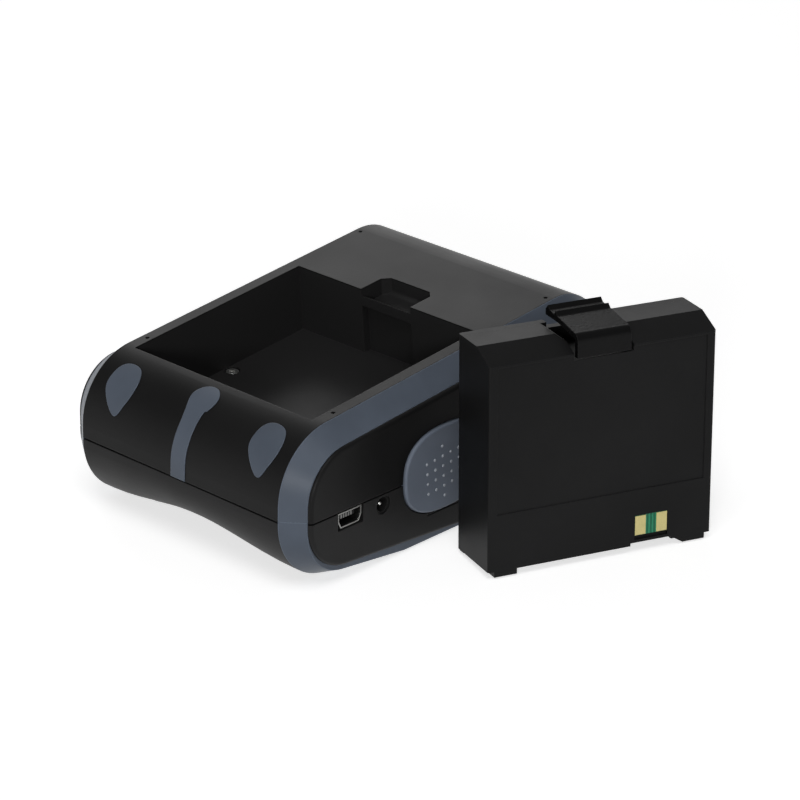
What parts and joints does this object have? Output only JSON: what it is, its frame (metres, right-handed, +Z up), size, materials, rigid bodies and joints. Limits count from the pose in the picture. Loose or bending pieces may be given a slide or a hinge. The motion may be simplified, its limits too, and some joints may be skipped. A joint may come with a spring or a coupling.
{
  "type": "portable receipt printer with removable battery pack",
  "caption": "Rounded wedge-shaped portable thermal printer lying upside down, battery bay open, with its battery pack standing beside it.",
  "frame": {"origin": "on the floor plane, in the printer's middle plane, on the outer face of the paper lid it rests on", "axes": "+Z up as in the picture, so the printer lies on its real top; -Y out of its thin rounded front end; +X towards the side with the sockets, where the battery pack stands"},
  "size_m": [0.1229, 0.1111, 0.0577],
  "materials": {
    "case_black": "fine satin grain",
    "pack_black": "fine grain",
    "latch_black": "polished by handling",
    "band_grey": "soft touch, satin",
    "button_grey": "soft touch with light raised dots",
    "key_grey": "soft touch",
    "overlay_black": "glossy",
    "spring_steel": "drawn wire",
    "steel": "plated",
    "motor_metal": "rolled can",
    "inner_black": "moulded",
    "board_green": "solder resist",
    "chip_black": "moulded resin",
    "gold": "gold plated",
    "dome_rubber": "silicone",
    "lens_clear": "frosted",
    "ceramic": "glazed ceramic",
    "heatsink": "plain",
    "platen_rubber": "ground rubber",
    "gear_white": "acetal",
    "cell_foil": "foil pouch"
  },
  "bodies": {
    "printer_body": {"bottom_shell": "case_black", "top_shell": "case_black", "pack_case": "pack_black", "pack_cover": "pack_black", "band_upper_right": "band_grey", "band_upper_left": "band_grey", "band_lower_right": "band_grey", "band_lower_left": "band_grey", "teardrop_inlay_left": "band_grey", "teardrop_inlay_right": "band_grey", "centre_inlay": "band_grey", "panel_overlay": "overlay_black", "release_spring_right": "spring_steel", "release_spring_left": "spring_steel", "head_springs": "spring_steel", "bay_screws": "steel", "board_screws": "steel", "hinge_pin": "steel", "gear_pin": "steel", "tear_bar": "steel", "usb_shell": "steel", "dc_jack_pin": "steel", "mechanism_frame": "steel", "feed_motor": "motor_metal", "usb_tongue": "inner_black", "dc_jack": "inner_black", "battery_contact_block": "inner_black", "roll_bucket": "inner_black", "main_board": "board_green", "key_board": "board_green", "pack_contact_board": "board_green", "board_components": "chip_black", "battery_contacts": "gold", "pack_contact_pads": "gold", "power_key_dome": "dome_rubber", "feed_key_dome": "dome_rubber", "status_lenses": "lens_clear", "print_head": "ceramic", "head_heatsink": "heatsink", "pack_cells": "cell_foil"},
    "lid_assembly": {"lid": "case_black", "platen_bushes": "gear_white"},
    "platen_assembly": {"platen_roller": "platen_rubber", "platen_shaft": "steel", "platen_gear": "gear_white"},
    "reduction": {"reduction_gear": "gear_white"},
    "motor_rotor": {"motor_pinion": "gear_white"},
    "release_right": {"release_button_right": "button_grey"},
    "release_left": {"release_button_left": "button_grey"},
    "power_key": {"power_button": "key_grey"},
    "feed_key": {"feed_button": "key_grey"},
    "latch": {"pack_latch": "latch_black"}
  },
  "joints": [
    {"name": "lid_hinge", "type": "hinge", "parent": "printer_body", "child": "lid_assembly", "pos_m": [0, 0.0541, 0.007], "axis": [1, 0, 0], "range_deg": [0, 95]},
    {"name": "platen_spin", "type": "hinge", "parent": "lid_assembly", "child": "platen_assembly", "pos_m": [0, -0.0045, 0.0079], "axis": [1, 0, 0], "continuous": true},
    {"name": "reduction_spin", "type": "hinge", "parent": "printer_body", "child": "reduction", "pos_m": [0.031, -0.0045, 0.0154], "axis": [1, 0, 0], "continuous": true},
    {"name": "motor_spin", "type": "hinge", "parent": "printer_body", "child": "motor_rotor", "pos_m": [0.03, 0.00162, 0.01787], "axis": [1, 0, 0], "continuous": true},
    {"name": "release_right_press", "type": "slide", "parent": "printer_body", "child": "release_right", "axis": [-1, 0, 0], "range_m": [0, 0.0013], "stiffness_N_per_m": 800, "springref_m": -0.002, "deforming": ["release_spring_right"]},
    {"name": "release_left_press", "type": "slide", "parent": "printer_body", "child": "release_left", "axis": [1, 0, 0], "range_m": [0, 0.0013], "stiffness_N_per_m": 800, "springref_m": -0.002, "deforming": ["release_spring_left"]},
    {"name": "power_press", "type": "slide", "parent": "printer_body", "child": "power_key", "axis": [0, 0, 1], "range_m": [0, 0.0005], "stiffness_N_per_m": 2000, "springref_m": -0.0003, "deforming": ["power_key_dome"]},
    {"name": "feed_press", "type": "slide", "parent": "printer_body", "child": "feed_key", "axis": [0, 0, 1], "range_m": [0, 0.0005], "stiffness_N_per_m": 2000, "springref_m": -0.0003, "deforming": ["feed_key_dome"]},
    {"name": "latch_flex", "type": "hinge", "parent": "printer_body", "child": "latch", "pos_m": [0.06989, 0.01258, 0.05045], "axis": [-0.3778, -0.9259, 0], "range_deg": [0, 7], "stiffness_Nm_per_rad": 0.6}
  ],
  "couplings": [
    {"joint": "reduction_spin", "follows": "platen_spin", "ratio": -2.3333},
    {"joint": "motor_spin", "follows": "platen_spin", "ratio": 7.9333}
  ]
}
